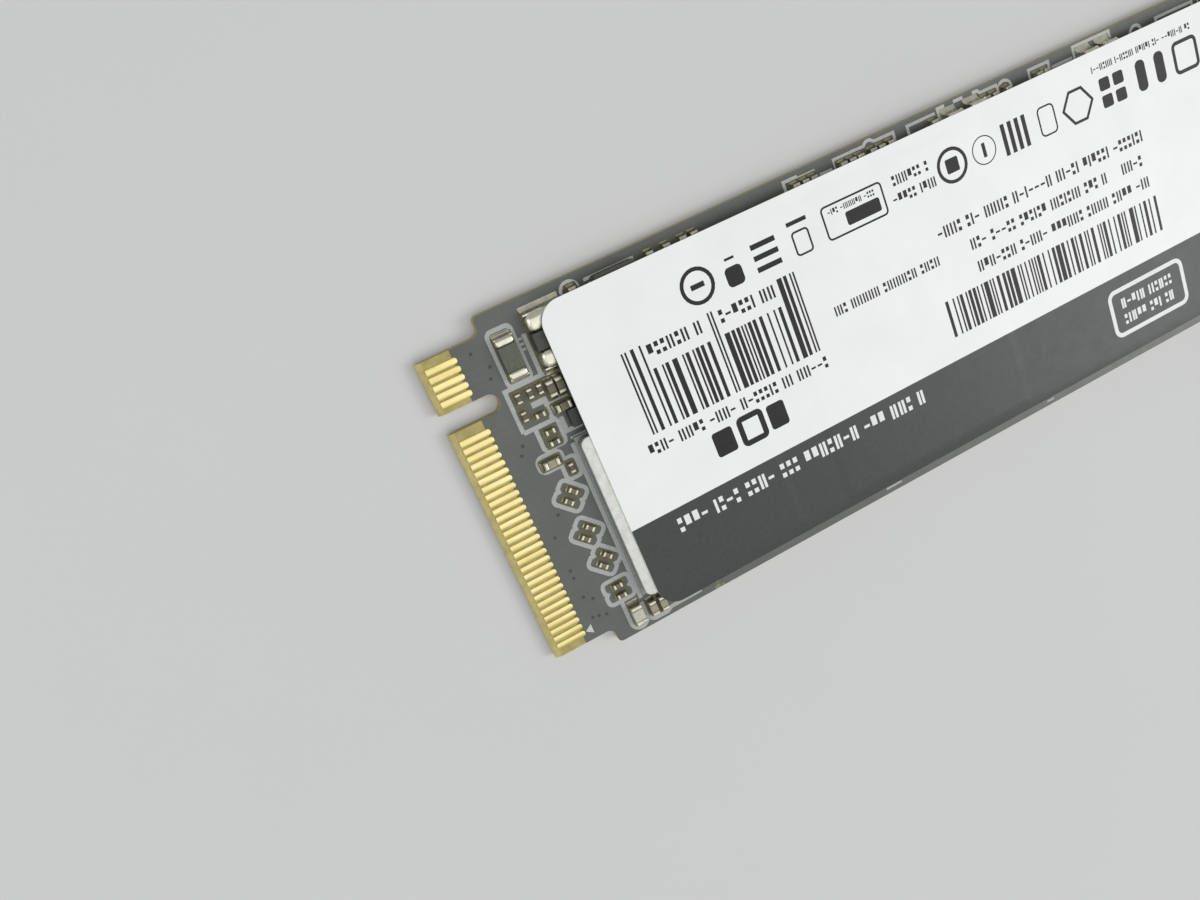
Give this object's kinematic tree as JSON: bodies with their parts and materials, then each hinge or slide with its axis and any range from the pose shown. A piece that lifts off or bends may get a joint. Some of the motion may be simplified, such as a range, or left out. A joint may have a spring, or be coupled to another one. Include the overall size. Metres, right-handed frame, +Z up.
{
  "type": "gumstick solid state drive",
  "caption": "Narrow bare circuit board drive with gold edge contacts and a key slot at one end, a screw notch at the other, memory chips on one face and a printed label over them.",
  "frame": {"origin": "centre of the board in plan, at the level of its underside", "axes": "+X along the board from the contacts to the screw notch, +Y towards the short contact group, +Z up from the bare underside to the label"},
  "size_m": [0.08, 0.022, 0.002],
  "materials": {
    "laminate": "woven glass laminate, cut edge",
    "solder_mask": "matt dark grey lacquer",
    "gold": "hard gold plating",
    "nickel": "matt nickel plating",
    "tin": "matt tin plating",
    "solder": "reflowed solder",
    "substrate": "dark package laminate",
    "moulding": "black moulding compound",
    "brown_ceramic": "matt brown ceramic",
    "pale_ceramic": "matt pale ceramic",
    "dark_ceramic": "dark grey-green ceramic",
    "ferrite": "pressed ferrite",
    "label_paper": "satin printed label"
  },
  "bodies": {
    "root": {"board_laminate": "laminate", "bulk_capacitor_bodies": "brown_ceramic", "bulk_capacitor_caps": "tin", "bulk_capacitor_solder": "solder", "contacts_bottom_long": "gold", "contacts_bottom_short": "gold", "contacts_top_long": "gold", "contacts_top_short": "gold", "controller_lid": "nickel", "controller_substrate": "substrate", "corner_capacitor_bodies": "brown_ceramic", "corner_capacitor_caps": "tin", "corner_capacitor_solder": "solder", "corner_chip_bodies": "pale_ceramic", "corner_chip_caps": "tin", "corner_chip_solder": "solder", "coupling_capacitor_bodies": "brown_ceramic", "coupling_capacitor_caps": "tin", "coupling_capacitor_solder": "solder", "crystal_base": "pale_ceramic", "crystal_lid": "nickel", "decoupling_capacitor_bodies": "brown_ceramic", "decoupling_capacitor_caps": "tin", "decoupling_capacitor_solder": "solder", "edge_capacitor_bodies": "brown_ceramic", "edge_capacitor_caps": "tin", "edge_capacitor_solder": "solder", "inner_flash_moulding": "moulding", "inner_flash_substrate": "substrate", "input_fuse_bodies": "dark_ceramic", "input_fuse_caps": "tin", "input_fuse_solder": "solder", "input_inductor_bodies": "ferrite", "input_inductor_caps": "tin", "input_inductor_solder": "solder", "label_sheet": "label_paper", "large_inductor_cores": "ferrite", "large_inductor_feet": "tin", "load_switch": "moulding", "outer_flash_moulding": "moulding", "outer_flash_substrate": "substrate", "power_manager": "moulding", "power_manager_leads": "tin", "screw_notch_rims": "gold", "small_inductor_cores": "ferrite", "small_inductor_feet": "tin", "small_supply_chip_bodies": "brown_ceramic", "small_supply_chip_caps": "tin", "small_supply_chip_solder": "solder", "solder_mask_bottom": "solder_mask", "solder_mask_top": "solder_mask", "tiny_supply_chip_bodies": "brown_ceramic", "tiny_supply_chip_caps": "tin", "tiny_supply_chip_solder": "solder"}
  },
  "joints": []
}
